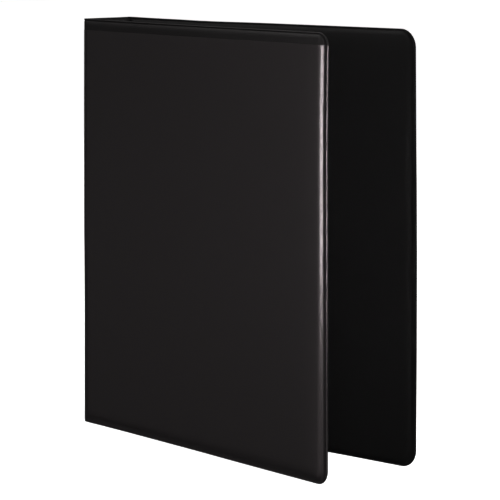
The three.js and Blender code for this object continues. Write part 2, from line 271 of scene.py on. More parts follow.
def film_material(name):
    """Clear soft film over the black sheet: see-through, glossy, with faint haze, drag marks and puckers."""
    m, nt, bsdf = new_material(name)
    v = coords(nt)
    slow = tex_noise(nt, v, 11.0, 3.0, 0.5)
    cloud = tex_noise(nt, v, 60.0, 4.0, 0.6)
    drag = tex_noise(nt, coords(nt, scale=(1.0, 1.0, 0.05)), 900.0, 3.0, 0.6)
    haze = mix_colour(nt, remap(nt, cloud.outputs[0], 0.3, 0.7, 0.0, 1.0), (0.030, 0.0265, 0.0270), (0.036, 0.0320, 0.0325))
    nt.links.new(haze, bsdf.inputs["Base Color"])
    r = math_node(nt, "ADD", remap(nt, cloud.outputs[0], 0.3, 0.7, FILM_ROUGH - 0.008, FILM_ROUGH + 0.012),
                  remap(nt, drag.outputs[0], 0.55, 0.75, 0.0, 0.02))
    nt.links.new(r, bsdf.inputs["Roughness"])
    n1 = bump(nt, slow.outputs[0], 0.05, 0.0008)
    n2 = bump(nt, cloud.outputs[0], 0.04, 0.0002, n1)
    nt.links.new(n2, bsdf.inputs["Normal"])
    bsdf.inputs["IOR"].default_value = 1.5
    bsdf.inputs["Specular IOR Level"].default_value = 1.0
    bsdf.inputs["Specular Tint"].default_value = (1.0, 0.87, 0.90, 1.0)
    bsdf.inputs["Alpha"].default_value = 0.5
    return m


def nickel_material(name, base=(0.74, 0.72, 0.68), rough=0.17, along=(1.0, 1.0, 0.04)):
    """Bright nickel plate: cloudy reflections, fine drawing lines, darker base colour in hollows."""
    m, nt, bsdf = new_material(name)
    v = coords(nt)
    lines = tex_noise(nt, coords(nt, scale=along), 2600.0, 3.0, 0.6)
    cloud = tex_noise(nt, v, 120.0, 4.0, 0.6)
    spots = tex_noise(nt, v, 1500.0, 2.0, 0.5)
    geo = nt.nodes.new("ShaderNodeNewGeometry")
    # hollows, found from the mesh's pointiness, get a darker base colour
    hollow = remap(nt, geo.outputs["Pointiness"], 0.42, 0.5, 1.0, 0.0)
    hollow_tone = tuple(c * 0.55 for c in base)
    tone = mix_colour(nt, remap(nt, cloud.outputs[0], 0.35, 0.7, 0.0, 0.35), base, tuple(c * 0.82 for c in base))
    nt.links.new(mix_colour(nt, math_node(nt, "MULTIPLY", hollow, 0.6), tone, hollow_tone), bsdf.inputs["Base Color"])
    bsdf.inputs["Metallic"].default_value = 1.0
    r = math_node(nt, "ADD", remap(nt, cloud.outputs[0], 0.3, 0.7, rough - 0.03, rough + 0.06),
                  remap(nt, spots.outputs[0], 0.6, 0.8, 0.0, 0.12))
    nt.links.new(r, bsdf.inputs["Roughness"])
    nt.links.new(bump(nt, lines.outputs[0], 0.12, 0.00003), bsdf.inputs["Normal"])
    return m


def board_material(name):
    """Grey-brown chipboard: short fibres and specks."""
    m, nt, bsdf = new_material(name)
    v = coords(nt)
    fibre = tex_noise(nt, coords(nt, scale=(1.0, 1.0, 0.25)), 700.0, 5.0, 0.7, 0.4)
    speck = tex_noise(nt, v, 1300.0, 2.0, 0.5)
    c1 = mix_colour(nt, remap(nt, fibre.outputs[0], 0.35, 0.65, 0.0, 1.0), (0.20, 0.165, 0.12), (0.33, 0.275, 0.205))
    nt.links.new(mix_colour(nt, remap(nt, speck.outputs[0], 0.66, 0.72, 0.0, 0.6), c1, (0.08, 0.07, 0.055)), bsdf.inputs["Base Color"])
    bsdf.inputs["Roughness"].default_value = 0.92
    nt.links.new(bump(nt, fibre.outputs[0], 0.4, 0.00012), bsdf.inputs["Normal"])
    return m


FILM_ROUGH = 0.20
outer_vinyl = vinyl_material("outer_vinyl", (0.0070, 0.0062, 0.0063), (0.0090, 0.0080, 0.0082), 0.50, sheen=0.22)
# The inside sheets are the same black vinyl as the outside, but their base colour is more than twice as light: painted
# light for the dim space between the covers.
inner_vinyl = vinyl_material("inner_vinyl", (0.0170, 0.0166, 0.0166), (0.0195, 0.0191, 0.0191), 0.60, grain=0.45, pebble_mm=0.7, sheen=0.08)
clear_film = film_material("clear_film")
chipboard = board_material("chipboard")
nickel = nickel_material("nickel")
nickel_wire = nickel_material("nickel_wire", base=(0.76, 0.74, 0.70), rough=0.12, along=(1.0, 1.0, 1.0))
plain_steel = nickel_material("plain_steel", base=(0.50, 0.49, 0.47), rough=0.30, along=(0.1, 1.0, 1.0))


def finish_piece(o, material):
    o.data.materials.clear()
    o.data.materials.append(material)
    return o


# ---------------------------------------------------------------- the welded case
# The case is one flat sandwich folded at the two hinges. A half runs from the middle of the spine,
# round a hinge, to a cover's free edge. Loops m = 0..K step inwards from the rim.
CORNER = {"front": 10.0, "back": 12.5}     # free corners
FACE = 1.48          # outside of a sheet over the board, from the middle plane
SHEET = 0.35
FILM_T = 0.17
# u along the profile, inset at the free edge, inset at the top and bottom
U_KEYS = [0.0, 0.20, 0.34, 0.42, 1.0, 1.25]
U = [0.0, 0.003, 0.009, 0.02, 0.04, 0.07, 0.10, 0.13, 0.16, 0.19, 0.22, 0.26, 0.30, 0.34, 0.365, 0.375, 0.385, 0.40, 0.43, 0.47,
     0.51, 0.55, 0.60, 0.65, 0.70, 0.76, 0.83, 0.91, 1.0, 1.1, 1.25]
K = len(U) - 1
FX = {s: np.interp(U, U_KEYS, [0.0, 1.75, 3.85, 4.95, 9.4, CORNER[s]]) for s in CORNER}
FZ = {s: np.interp(U, U_KEYS, [0.0, 0.75, 1.4, 1.8, 4.9, CORNER[s]]) for s in CORNER}


def rim_height(u):
    """Height of a sheet's outside above the middle plane, across the rim weld and up the shoulder."""
    edge = math.sqrt(max(0.0, 1.0 - (1.0 - min(u / 0.05, 1.0)) ** 2))
    bead = edge * (0.30 + 0.18 * min(max((u - 0.045) / 0.085, 0.0), 1.0))
    bead -= 0.36 * 0.5 * (1 - math.cos(math.pi * min(max((u - 0.14) / 0.14, 0.0), 1.0)))
    v = min(max((u - 0.38) / 0.62, 0.0), 1.0)
    return bead + 1.76 * v - 0.72 * v * v


RIM_H = np.array([rim_height(u) for u in U])
TENT = FACE - float(RIM_H[-1])      # the last of the rise, over a wider strip
FLAT_H = 0.30        # weld valley beside a hinge


def hinge_height(d):
    """0 in the hinge weld, 1 over the board, against distance from the hinge axis."""
    v = min(max((abs(d) - 2.1) / 3.6, 0.0), 1.0)
    return (1.0 - (1.0 - v) ** 2.4) * (0.3 + 0.7 * min(1.0, v * 5.0)) if v > 0 else 0.0


def hinge_rib(d):
    """Fine ribs pressed into the hinge weld."""
    a = abs(d)
    w = 1.0 - min(max((a - 1.5) / 0.5, 0.0), 1.0)
    return 0.035 * w * math.cos(2 * math.pi * d / 0.95)


def sheet_wave(p, z, seed):
    """Slow unevenness of a sheet over its board."""
    a = noise.noise(Vector((p * 0.013 + seed * 7.3, z * 0.011, seed * 3.1)))
    b = noise.noise(Vector((p * 0.045, z * 0.035 + seed * 5.7, seed)))
    return 0.018 * a + 0.004 * b


def case_columns(side):
    """(base point, outward normal, signed distance from the hinge, rim index or None) across a half."""
    sgn = -1.0 if side == "front" else 1.0
    d = DIR[side]
    corner = np.array([0.0, sgn * YH])
    n0 = np.array([-1.0, 0.0])
    n1 = np.array([d[1], -d[0]]) if side == "front" else np.array([-d[1], d[0]])
    turn = math.acos(float(n0 @ n1))
    length = 0.45
    rho = length / math.tan(turn / 2)
    cols = []
    near = [0.45, 0.65, 0.85, 1.05, 1.25, 1.45, 1.7, 1.95, 2.2, 2.5, 2.8, 3.1, 3.4, 3.8, 4.2, 4.7, 5.3, 6.0, 6.8, 7.8, 9.0]
    spine = [YH, 18.0, 15.5, 13.0, 11.0] + near[::-1]
    for s in spine:
        cols.append((np.array([0.0, sgn * (YH - s)]), n0, -s, None))
    start = np.array([0.0, sgn * (YH - length)])
    centre = start - rho * n0
    steps = 12
    for i in range(1, steps):
        a = turn * i / steps * sgn * -1.0
        # turn n0 towards n1
        c, s_ = math.cos(a), math.sin(a)
        n = np.array([n0[0] * c - n0[1] * s_, n0[0] * s_ + n0[1] * c])
        if i == 1 and abs(float(n @ n1) - math.cos(turn * (1 - 1 / steps))) > 1e-3:
            raise RuntimeError("hinge arc turns the wrong way")
        cols.append((centre + rho * n, n, -length + 2 * length * i / steps, None))
    w = WIDTH[side]
    inner = near + [11.0]
    span = np.linspace(14.0, w - CORNER[side], 34)
    for p in list(inner) + list(span[:-1]):
        cols.append((corner + p * d, n1, p, None))
    for m in range(K, -1, -1):
        cols.append((corner + (w - FX[side][m]) * d, n1, w - FX[side][m], m))
    return cols, corner, d, n1, w


def z_rows(side):
    fz, r = FZ[side], CORNER[side]
    rows = [(fz[m], m) for m in range(K + 1)]
    rows += [(z, None) for z in np.linspace(r, H - r, 42)[1:-1]]
    rows += [(H - fz[m], m) for m in range(K, -1, -1)]
    return rows


# Small unevenness of a hand-fed welded case, in mm. p is the distance from the hinge towards the free edge,
# negative on the spine.
TOP_DRIFT = {
    "front": ([-21, -12, 0, 20, 40], [0.45, 0.40, 0.30, 0.12, 0.0]),
    "back": ([-21, -12, -6, 0, 5, 12, 20, 35, 53, 66, 90, 110, 135], [0.45, 0.38, 0.50, 0.57, 0.57, 0.40, 0.33, 0.13, 0.04, -0.24, -0.28, -0.12, 0.0]),
}
BOTTOM_DRIFT = {
    "front": ([-21, 0, 8, 20, 55, 130, 165, 190], [0.0, -0.15, -0.18, 0.0, 0.18, 0.22, 0.06, 0.0]),
    "back": ([-21, 0, 170, 205, 262], [0.0, 0.0, 0.0, 0.22, 0.22]),
}
# bow of a cover at its free edge, outwards
BOW = {
    "front": ([0, 200, 235, 261, 280, 292], [0.0, 0.0, -0.10, -0.45, -0.9, -1.1], 2.0),
    "back": ([0, 27, 67, 106, 146, 186, 226, 273, 292], [0.5, 0.66, 1.1, 1.3, 1.4, 1.2, 0.65, 0.28, 0.2], 1.5),
}


def ease_table(x, table):
    """Smoothed look-up in a table of keys and values."""
    return sum(w * float(np.interp(x + dx, table[0], table[1])) for dx, w in ((-6, 0.2), (0, 0.6), (6, 0.2)))


def drift(side, p, z):
    """Offset in z of the welded edge, dying out a little way in."""
    top = ease_table(p, TOP_DRIFT[side]) * max(0.0, 1.0 - (H - z) / 14.0) ** 2
    bottom = ease_table(p, BOTTOM_DRIFT[side]) * max(0.0, 1.0 - z / 14.0) ** 2
    return top + bottom


def bow(side, p, z):
    keys, values, power = BOW[side]
    if p <= 0:
        return 0.0
    return ease_table(z, (keys, values)) * (p / WIDTH[side]) ** power


def fold_bulge(side, dist, z):
    """The front fold stands out a little more over its upper half."""
    if side != "front" or abs(dist) > 7.0:
        return 0.0
    return ease_table(z, ([0, 82, 99, 108, 125, 134, 150, 235, 292], [0.03, 0.07, 0.15, 0.22, 0.32, 0.45, 0.52, 0.52, 0.42])) * (0.5 + 0.5 * math.cos(math.pi * dist / 7.0))


def half_sheet(name, side, face, material, low, high, first=0):
    """A closed sheet over one half of the case. face is +1 outside, -1 inside.
    low and high give its two surfaces from the profile height; first is the outermost rim loop it reaches."""
    cols, corner, d, n1, w = case_columns(side)
    rows = z_rows(side)
    fx, fz, cr = FX[side], FZ[side], CORNER[side]
    seed = {"front": 1.0, "back": 2.0}[side] + (0 if face > 0 else 5)
    out = n1 + np.array([-1.0, 0.0])
    out /= np.linalg.norm(out)
    cols = [c for c in cols if c[3] is None or c[3] >= first]
    rows = [r for r in rows if r[1] is None or r[1] >= first]
    nc, nr = len(cols), len(rows)
    verts = np.zeros((2, nc, nr, 3))
    for i, (base, n, dist, a) in enumerate(cols):
        for j, (z, b) in enumerate(rows):
            p = dist
            zz = z
            if a is not None and a < K and b is not None and b < K:     # in a rounded corner
                m = min(a, b)
                if a <= b:
                    th = math.radians(45.0) * (K - b) / (K - m)
                else:
                    th = math.radians(90.0) - math.radians(45.0) * (K - a) / (K - m)
                p = w - cr + (cr - fx[m]) * math.cos(th)
                inset = cr - (cr - fz[m]) * math.sin(th)
                zz = inset if z < H / 2 else H - inset
                base_ij = corner + p * d
                u = U[m]
            else:
                base_ij = base
                m = min(x for x in (a, b, K) if x is not None)
                u = U[m]
            rim = RIM_H[m]
            g = hinge_height(dist)
            h = rim if rim <= FLAT_H else FLAT_H + (rim - FLAT_H) * g
            if rim > FLAT_H * 0.9:
                h += hinge_rib(dist) * min(1.0, max(0.0, (u - 0.3) / 0.15))
            if u >= 1.0:
                tx = min(1.0, max(0.0, (w - p - 9.4) / 12.5))
                tz = min(1.0, max(0.0, (min(zz, H - zz) - 4.9) / (4.0 if zz < H / 2 else 4.6)))
                h += TENT * g * (1 - (1 - tx) ** 2) * (1 - (1 - tz) ** 2)
            flat = min(1.0, max(0.0, (u - 0.9) / 0.35)) * min(1.0, max(0.0, (abs(dist) - 6.0) / 8.0))
            if flat > 0 and dist > 0:
                h += sheet_wave(p, zz, seed) * flat
            lift = n * bow(side, p, zz) + out * fold_bulge(side, dist, zz)
            dz = drift(side, p, zz)
            for k, f in enumerate((low, high)):
                t = f(h, u, g)
                verts[k, i, j, :2] = base_ij + n * (t * face) + lift
                verts[k, i, j, 2] = zz + dz
    flat_verts = verts.reshape(-1, 3)
    idx = lambda k, i, j: (k * nc + i) * nr + j
    faces = []
    for i in range(nc - 1):
        for j in range(nr - 1):
            faces.append((idx(1, i, j), idx(1, i + 1, j), idx(1, i + 1, j + 1), idx(1, i, j + 1)))
            faces.append((idx(0, i, j), idx(0, i, j + 1), idx(0, i + 1, j + 1), idx(0, i + 1, j)))
    for i in range(nc - 1):
        faces.append((idx(0, i, 0), idx(0, i + 1, 0), idx(1, i + 1, 0), idx(1, i, 0)))
        faces.append((idx(0, i, nr - 1), idx(1, i, nr - 1), idx(1, i + 1, nr - 1), idx(0, i + 1, nr - 1)))
    for j in range(nr - 1):
        faces.append((idx(0, 0, j), idx(1, 0, j), idx(1, 0, j + 1), idx(0, 0, j + 1)))
        faces.append((idx(0, nc - 1, j), idx(0, nc - 1, j + 1), idx(1, nc - 1, j + 1), idx(1, nc - 1, j)))
    o = mesh_object(name, flat_verts, faces, smooth=True, angle=50)
    finish_piece(o, material)
    return o


def sheet_low(h, u, g):
    """Hidden side of a vinyl sheet: on the seam in the welds, a sheet's thickness below its outside over the board."""
    return min(max(0.012, h - SHEET - 0.02), h - 0.004) if u > 0.4 else min(0.012, h * 0.5)


def sheet_high(h, u, g):
    return max(h, 0.03)


def film_low(h, u, g):
    return max(h, 0.03) + 0.012


def film_high(h, u, g):
    return max(h, 0.03) + 0.012 + (FILM_T if u > U[FILM_FIRST] + 1e-6 else 0.05)


FILM_FIRST = 3       # the film runs to the rim, where it is welded


def bend_round_hinge(o):
    """Bakes the sheet's placement into its mesh. The sheet is built lying along the spine on one side of the hinge axis
    and along the cover on the other; nothing here bends it when the cover turns.
    """
    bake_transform(o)


FILM_TOP = box_mm("front_clear_overlay")[1][2]


def cut_top(o, z_mm):
    """Cuts a closed piece off at a height and closes it again."""
    bm = bmesh.new()
    bm.from_mesh(o.data)
    geom = bm.verts[:] + bm.edges[:] + bm.faces[:]
    res = bmesh.ops.bisect_plane(bm, geom=geom, plane_co=(0, 0, z_mm * MM), plane_no=(0, 0, 1), clear_outer=True, dist=1e-7)
    edges = [e for e in res["geom_cut"] if isinstance(e, bmesh.types.BMEdge)]
    bmesh.ops.holes_fill(bm, edges=[e for e in bm.edges if e.is_boundary], sides=0)
    bmesh.ops.recalc_face_normals(bm, faces=bm.faces)
    bm.to_mesh(o.data)
    bm.free()
    shade(o, True, 50)


for side in ("front", "back"):
    outer = half_sheet(side + "_outer_sheet", side, 1, outer_vinyl, sheet_low, sheet_high)
    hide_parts(side + "_outer_vinyl", side + "_hinge_weld", "spine_outer_vinyl")
    # inside sheet in the lighter inner vinyl colour, which is painted light for the space between the covers
    inner = half_sheet(side + "_inner_sheet", side, -1, inner_vinyl, sheet_low, sheet_high)
    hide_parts(side + "_inner_vinyl", "spine_inner_vinyl")
    film = half_sheet(side + "_film", side, 1, clear_film, film_low, film_high, first=FILM_FIRST)
    cut_top(film, FILM_TOP)
    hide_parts(side + "_clear_overlay", "spine_clear_overlay")
    for o in (outer, inner, film):
        bend_round_hinge(o)


# ---------------------------------------------------------------- boards
def board(name, points_fn, x0, x1, z0, z1, node, body):
    """Chipboard with slightly crushed edges. points_fn maps (across, thickness) to the plan."""
    half, rx, rt, seg = 0.92, 5.5, 0.62, 6
    rings = []
    for k in range(seg + 1):
        a = math.pi / 2 * k / seg
        rings.append((rx - rx * math.sin(a), -half + rt - rt * math.cos(a)))
    for k in range(seg + 1):
        a = math.pi / 2 * k / seg
        rings.append((rx - rx * math.cos(a), half - rt + rt * math.sin(a)))
    verts, faces = [], []
    cr = 7.0
    n = 0
    for inset, t in rings:
        loop = []
        for cx, cz, a0 in ((x1 - cr, z1 - cr, 0), (x0 + cr, z1 - cr, 90), (x0 + cr, z0 + cr, 180), (x1 - cr, z0 + cr, 270)):
            for s in range(6):
                a = math.radians(a0 + 90 * s / 5)
                loop.append((cx + (cr - inset) * math.cos(a), cz + (cr - inset) * math.sin(a)))
        n = len(loop)
        for p, z in loop:
            xy = points_fn(p, t)
            verts.append((xy[0], xy[1], z))
    for k in range(len(rings) - 1):
        for i in range(n):
            j = (i + 1) % n
            faces.append((k * n + i, k * n + j, (k + 1) * n + j, (k + 1) * n + i))
    faces.append(tuple(range(n - 1, -1, -1)))
    faces.append(tuple((len(rings) - 1) * n + i for i in range(n)))
    o = mesh_object(name, verts, faces, smooth=True, angle=35)
    side = name.split("_")[0]
    if side in WIDTH:
        # cut into strips that can follow the cover's bow
        d, sgn = DIR[side], -1.0 if side == "front" else 1.0
        n1 = np.array([d[1], -d[0]]) if side == "front" else np.array([-d[1], d[0]])
        bm = bmesh.new()
        bm.from_mesh(o.data)
        for z in np.linspace(z0, z1, 20)[1:-1]:
            bmesh.ops.bisect_plane(bm, geom=bm.verts[:] + bm.edges[:] + bm.faces[:], plane_co=(0, 0, z * MM), plane_no=(0, 0, 1))
        for p in np.linspace(x0, x1, 14)[1:-1]:
            c = (np.array([0.0, sgn * YH]) + p * d) * MM
            bmesh.ops.bisect_plane(bm, geom=bm.verts[:] + bm.edges[:] + bm.faces[:], plane_co=(c[0], c[1], 0), plane_no=(d[0], d[1], 0))
        for v in bm.verts:
            p = float((np.array(v.co[:2]) * 1000 - np.array([0.0, sgn * YH])) @ d)
            lift = bow(side, p, v.co[2] * 1000) * MM
            v.co[0] += n1[0] * lift
            v.co[1] += n1[1] * lift
        bm.to_mesh(o.data)
        bm.free()
        shade(o, True, 35)
    finish_piece(o, chipboard)
    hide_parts(node)
    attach(o, body)
    return o


for side in ("front", "back"):
    sgn = -1.0 if side == "front" else 1.0
    d = DIR[side]
    n1 = np.array([d[1], -d[0]]) if side == "front" else np.array([-d[1], d[0]])
    corner = np.array([0.0, sgn * YH])
    board(side + "_chipboard", lambda p, t, c=corner, d=d, n=n1: c + p * d + t * n, 4.6, WIDTH[side] - 7.6, 4.7, H - 4.7,
          side + "_board", side + "_cover")
board("spine_chipboard", lambda p, t: np.array([-t, p]), -YH + 4.6, YH - 4.6, 4.7, H - 4.7, "spine_board", "spine")


# ---------------------------------------------------------------- round parts
def lathe(name, profile, axis_point, axis, segments=48, material=None, cap=False):
    """profile is (radius, station) pairs; stations run along axis from axis_point. Closed on the axis or as a ring."""
    axis = np.array(axis, float)
    side_a = np.array([0.0, 0.0, 1.0]) if abs(axis[2]) < 0.5 else np.array([1.0, 0.0, 0.0])
    u = np.cross(axis, side_a)
    v = np.cross(axis, u)
    verts, faces, ring = [], [], []
    for r, s in profile:
        if r < 1e-6:
            ring.append([len(verts)])
            verts.append(np.array(axis_point) + axis * s)
        else:
            ids = []
            for k in range(segments):
                a = 2 * math.pi * k / segments
                ids.append(len(verts))
                verts.append(np.array(axis_point) + axis * s + r * (u * math.cos(a) + v * math.sin(a)))
            ring.append(ids)
    pairs = list(zip(ring, ring[1:])) + ([(ring[-1], ring[0])] if cap else [])
    for a, b in pairs:
        for k in range(segments):
            l = (k + 1) % segments
            if len(a) == 1 and len(b) > 1:
                faces.append((a[0], b[k], b[l]))
            elif len(b) == 1 and len(a) > 1:
                faces.append((a[k], b[0], a[l]))
            elif len(a) > 1:
                faces.append((a[k], b[k], b[l], a[l]))
    o = mesh_object(name, verts, faces, smooth=True, angle=40)
    finish_piece(o, material or nickel)
    return o


def rounded(points, r, steps=4):
    """Rounds the inner corners of an open polyline."""
    out = [np.array(points[0], float)]
    for a, b, c in zip(points, points[1:], points[2:]):
        a, b, c = (np.array(q, float) for q in (a, b, c))
        ab, cb = a - b, c - b
        la, lc = np.linalg.norm(ab), np.linalg.norm(cb)
        q = min(r, la * 0.45, lc * 0.45)
        p0, p1 = b + ab / la * q, b + cb / lc * q
        for k in range(steps + 1):
            t = k / steps
            out.append((1 - t) ** 2 * p0 + 2 * t * (1 - t) * b + t * t * p1)
    out.append(np.array(points[-1], float))
    return [tuple(p) for p in out]


for end in ("top", "bottom"):
    lo, hi = box_mm(end + "_rivet")
    zc = (lo[2] + hi[2]) / 2
    x_out, x_in = lo[0], hi[0]
    # head outside the spine, shank, head on the housing
    prof = [(0, x_out + 0.02), (1.1, x_out + 0.03), (2.3, x_out + 0.17), (3.3, x_out + 0.45), (3.95, x_out + 0.78), (4.15, x_out + 0.93),
            (1.5, x_out + 0.95), (1.5, x_in - 1.12), (3.75, x_in - 1.12), (3.7, x_in - 0.85), (3.2, x_in - 0.48), (2.2, x_in - 0.17),
            (1.2, x_in - 0.03), (0.75, x_in - 0.10), (0.4, x_in - 0.22), (0, x_in - 0.26)]
    rivet = lathe(end + "_rivet_turned", rounded(prof, 0.25, 3), (0, 0, zc), (1, 0, 0), 56)
    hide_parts(end + "_rivet")
    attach(rivet, "spine")
    lo, hi = box_mm(end + "_rivet_post")
    post = lathe(end + "_spacer", rounded([(1.75, lo[0]), (2.6, lo[0]), (2.6, hi[0]), (1.75, hi[0])], 0.12, 3), (0, 0, zc), (1, 0, 0), 40,
                 plain_steel, cap=True)
    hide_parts(end + "_rivet_post")
    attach(post, "spine")
    lo, hi = box_mm(end + "_lever_pin")
    px, pz, ph = (lo[0] + hi[0]) / 2, (lo[2] + hi[2]) / 2, hi[1]
    pin = lathe(end + "_pin_turned", rounded([(0, -ph), (1.25, -ph + 0.05), (1.3, -ph + 0.48), (0.85, -ph + 0.48), (0.85, ph - 0.48), (1.3, ph - 0.48),
                                              (1.25, ph - 0.05), (0, ph)], 0.15, 3), (px, 0, pz), (0, 1, 0), 32, plain_steel)
    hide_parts(end + "_lever_pin")
    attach(pin, "spine")


# ---------------------------------------------------------------- ring housing
def smooth_line(points, count):
    """Even points along a smooth curve through the given ones."""
    pts = np.array(points, float)
    dist = np.concatenate([[0], np.cumsum(np.linalg.norm(np.diff(pts, axis=0), axis=1))])
    ext = np.vstack([2 * pts[0] - pts[1], pts, 2 * pts[-1] - pts[-2]])
    out = []
    for s in np.linspace(0, dist[-1], count):
        k = min(max(int(np.searchsorted(dist, s, side="right")) - 1, 0), len(pts) - 2)
        t = (s - dist[k]) / (dist[k + 1] - dist[k])
        p0, p1, p2, p3 = ext[k], ext[k + 1], ext[k + 2], ext[k + 3]
        out.append(0.5 * (2 * p1 + (p2 - p0) * t + (2 * p0 - 5 * p1 + 4 * p2 - p3) * t * t + (3 * p1 - p0 - 3 * p2 + p3) * t ** 3))
    return np.array(out)


def prism(name, outline, u, v, w, depth0, depth1):
    """A solid from a closed outline in axes u and v, run along w."""
    verts, n = [], len(outline)
    for dpt in (depth0, depth1):
        for a, b in outline:
            verts.append(np.array(u) * a + np.array(v) * b + np.array(w) * dpt)
    faces = [tuple(range(n)), tuple(range(2 * n - 1, n - 1, -1))]
    for i in range(n):
        j = (i + 1) % n
        faces.append((i, j, n + j, n + i))
    return mesh_object(name, verts, faces, smooth=False)


def rounded_rect(x0, x1, y0, y1, r, seg=6):
    pts = []
    for cx, cy, a0 in ((x1 - r, y1 - r, 0), (x0 + r, y1 - r, 90), (x0 + r, y0 + r, 180), (x1 - r, y0 + r, 270)):
        for s in range(seg + 1):
            a = math.radians(a0 + 90 * s / seg)
            pts.append((cx + r * math.cos(a), cy + r * math.sin(a)))
    return pts


def cut_with(o, cutters, operation="DIFFERENCE"):
    for c in cutters:
        mod = o.modifiers.new("cut", "BOOLEAN")
        mod.operation = operation
        mod.solver = "EXACT"
        mod.object = c
    apply_modifiers(o)
    for c in cutters:
        me = c.data
        bpy.data.objects.remove(c)
        bpy.data.meshes.remove(me)
    return o


def soften(o, width, segments=2, angle=35, shade_angle=40):
    """Small rounds on sharp edges, then smooth shading."""
    bm = bmesh.new()
    bm.from_mesh(o.data)
    bmesh.ops.remove_doubles(bm, verts=bm.verts, dist=2e-6)
    bmesh.ops.dissolve_limit(bm, angle_limit=math.radians(1.0), verts=bm.verts, edges=bm.edges)
    bm.to_mesh(o.data)
    bm.free()
    mod = o.modifiers.new("round", "BEVEL")
    mod.width = width * MM
    mod.segments = segments
    mod.limit_method = "ANGLE"
    mod.angle_limit = math.radians(angle)
    mod.use_clamp_overlap = True
    mod.harden_normals = False
    apply_modifiers(o)
    shade(o, True, shade_angle)
    return o


lo_h, hi_h = box_mm("ring_housing")
z_mid = (lo_h[2] + hi_h[2]) / 2
apex = hi_h[0] - 0.3
half_line = [(0, apex), (2.6, apex - 0.17), (5.1, apex - 0.58), (7.4, apex - 1.18), (8.95, apex - 1.85), (9.85, apex - 2.7),
             (10.1, apex - 3.4), (9.95, apex - 4.3), (9.45, apex - 5.05), (8.5, apex - 5.3)]
full_line = [(-y, x) for y, x in half_line[:0:-1]] + half_line
curve_line = smooth_line(full_line, 73)
tangent = np.gradient(curve_line, axis=0)
tangent /= np.linalg.norm(tangent, axis=1)[:, None]
normal = np.stack([-tangent[:, 1], tangent[:, 0]], 1)
section = np.vstack([curve_line + normal * 0.3, (curve_line - normal * 0.3)[::-1]])
housing = prism("ring_housing_sheet", [tuple(p) for p in section], (0, 1, 0), (1, 0, 0), (0, 0, 1), lo_h[2], hi_h[2])
cutters = []
ring_z = []
for row in ("bottom", "middle", "top"):
    lo, hi = box_mm("back_half_ring_" + row)
    zc = (lo[2] + hi[2]) / 2
    ring_z.append(zc)
    for s in (-1, 1):
        # slot in the side of the arch, rounded at its inner end
        outline = rounded_rect(6.3, 16.0, zc - 1.9, zc + 1.9, 1.2)
        if s < 0:
            outline = [(-a, b) for a, b in outline]
        cutters.append(prism(f"slot_{row}_{s}", outline, (0, 1, 0), (0, 0, 1), (1, 0, 0), 3.5, 16.0))
for end, s in (("bottom", -1), ("top", 1)):
    lo, hi = box_mm(end + "_lever_pin")
    pz, px = (lo[2] + hi[2]) / 2, (lo[0] + hi[0]) / 2
    a, b = (pz - s * 4.1, pz + s * 30)
    outline = rounded_rect(-4.4, 4.4, min(a, b), max(a, b), 1.4)
    cutters.append(prism("mouth_" + end, outline, (0, 1, 0), (0, 0, 1), (1, 0, 0), 5.6, 16.0))
    hole = [(px + 0.97 * math.cos(t), pz + 0.97 * math.sin(t)) for t in np.linspace(0, 2 * math.pi, 24, endpoint=False)]
    cutters.append(prism("pin_hole_" + end, hole, (1, 0, 0), (0, 0, 1), (0, 1, 0), -14, 14))
    lo, hi = box_mm(end + "_rivet")
    rz = (lo[2] + hi[2]) / 2
    hole = [(1.7 * math.cos(t), rz + 1.7 * math.sin(t)) for t in np.linspace(0, 2 * math.pi, 24, endpoint=False)]
    cutters.append(prism("rivet_hole_" + end, hole, (0, 1, 0), (0, 0, 1), (1, 0, 0), 5, 12))
cut_with(housing, cutters)
soften(housing, 0.14, 2, 38, 30)
finish_piece(housing, nickel)
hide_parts("ring_housing")
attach(housing, "spine")


# ---------------------------------------------------------------- blades and levers, from their CAD solids
def from_cad(name, node, body, material, width, cut=None, relief=None):
    me = frame["nodes"][node].data.copy()
    me.name = name
    me.materials.clear()
    o = link(me, name)
    bm = bmesh.new()
    bm.from_mesh(me)
    bmesh.ops.remove_doubles(bm, verts=bm.verts, dist=2e-6)
    bm.to_mesh(me)
    bm.free()
    if cut:
        cut_with(o, [cut], "INTERSECT")
    if relief:
        cut_with(o, [relief])
    soften(o, width, 3, 30, 35)
    finish_piece(o, material)
    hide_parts(node)
    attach(o, body)
    return o


from_cad("front_blade_plate", "front_blade", "front_leaf", nickel, 0.12)
from_cad("back_blade_plate", "back_blade", "back_leaf", nickel, 0.12)
for end in ("top", "bottom"):
    lo, hi = box_mm(end + "_lever")
    outline = rounded_rect(lo[1], hi[1], lo[0] - 8.0, hi[0] + 0.01, 3.2, 10)
    rounder = prism("rounder", outline, (0, 1, 0), (1, 0, 0), (0, 0, 1), lo[2] - 5, hi[2] + 5)
    # the grip's upper lip is eased underneath, so that it clears the blade tongues when it swings
    lo, hi = box_mm(end + "_lever_pin")
    px, pz, s = (lo[0] + hi[0]) / 2, (lo[2] + hi[2]) / 2, -1.0 if end == "top" else 1.0
    za, zb = pz + s * 1.75, pz + s * 3.4
    eased = prism("eased", [(min(za, zb), px - 0.6), (max(za, zb), px - 0.6), (max(za, zb), px - 0.13), (min(za, zb), px - 0.13)],
                  (0, 0, 1), (1, 0, 0), (0, 1, 0), -5.0, 5.0)
    from_cad(end + "_lever_plate", end + "_lever", end + "_lever", nickel, 0.28, rounder, eased)


# ---------------------------------------------------------------- half rings
WIRE = 1.4
RING_R = 14.1
PEG_R = 0.6


